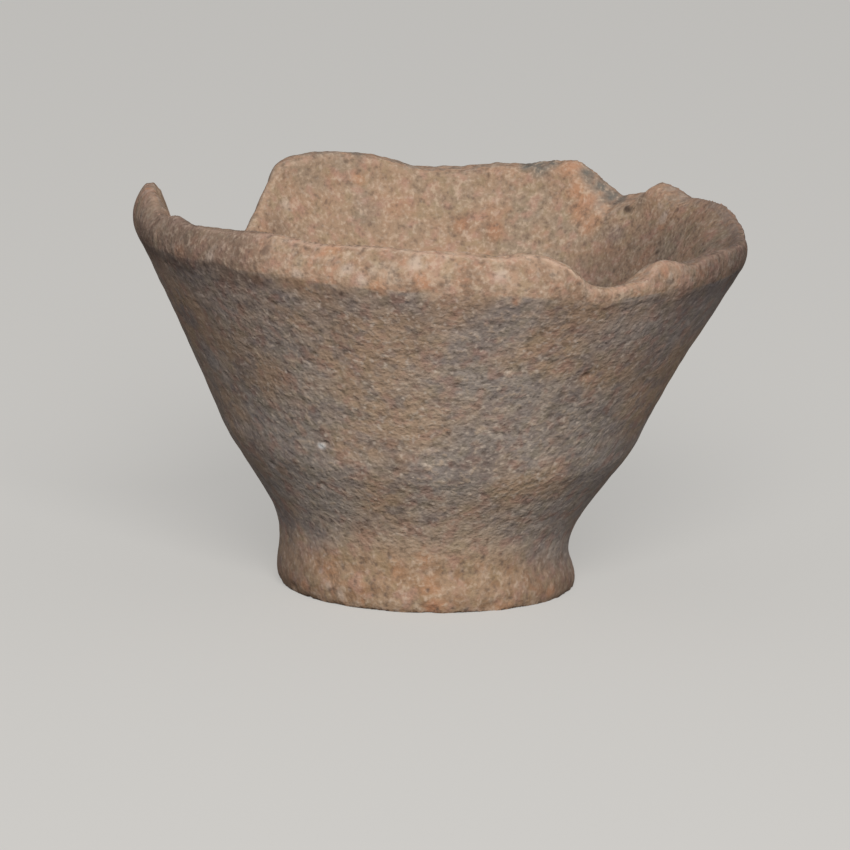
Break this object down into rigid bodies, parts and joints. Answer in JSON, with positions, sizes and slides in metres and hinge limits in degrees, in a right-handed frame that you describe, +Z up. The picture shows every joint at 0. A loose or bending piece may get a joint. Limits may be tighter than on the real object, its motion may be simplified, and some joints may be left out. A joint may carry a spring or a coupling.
{
  "type": "footed drinking cup",
  "caption": "Small hand-built unglazed earthenware cup with a low disc foot, flaring conical wall, rounded shoulder and a bevelled rim that is broken, with a large sherd missing.",
  "frame": {"origin": "middle of the flat resting face under the foot", "axes": "+Z up; the cup's front, with the fullest stretch of rim, faces -Y; its own axis leans about two degrees towards +X"},
  "size_m": [0.0768, 0.0768, 0.0503],
  "materials": {
    "fired_clay": "unglazed, rough, grey-brown with orange-buff wear"
  },
  "bodies": {
    "root": {"foot_disc": "fired_clay", "bowl_base": "fired_clay", "lower_wall_coil": "fired_clay", "upper_wall_coil": "fired_clay", "rim_coil": "fired_clay"}
  },
  "joints": []
}
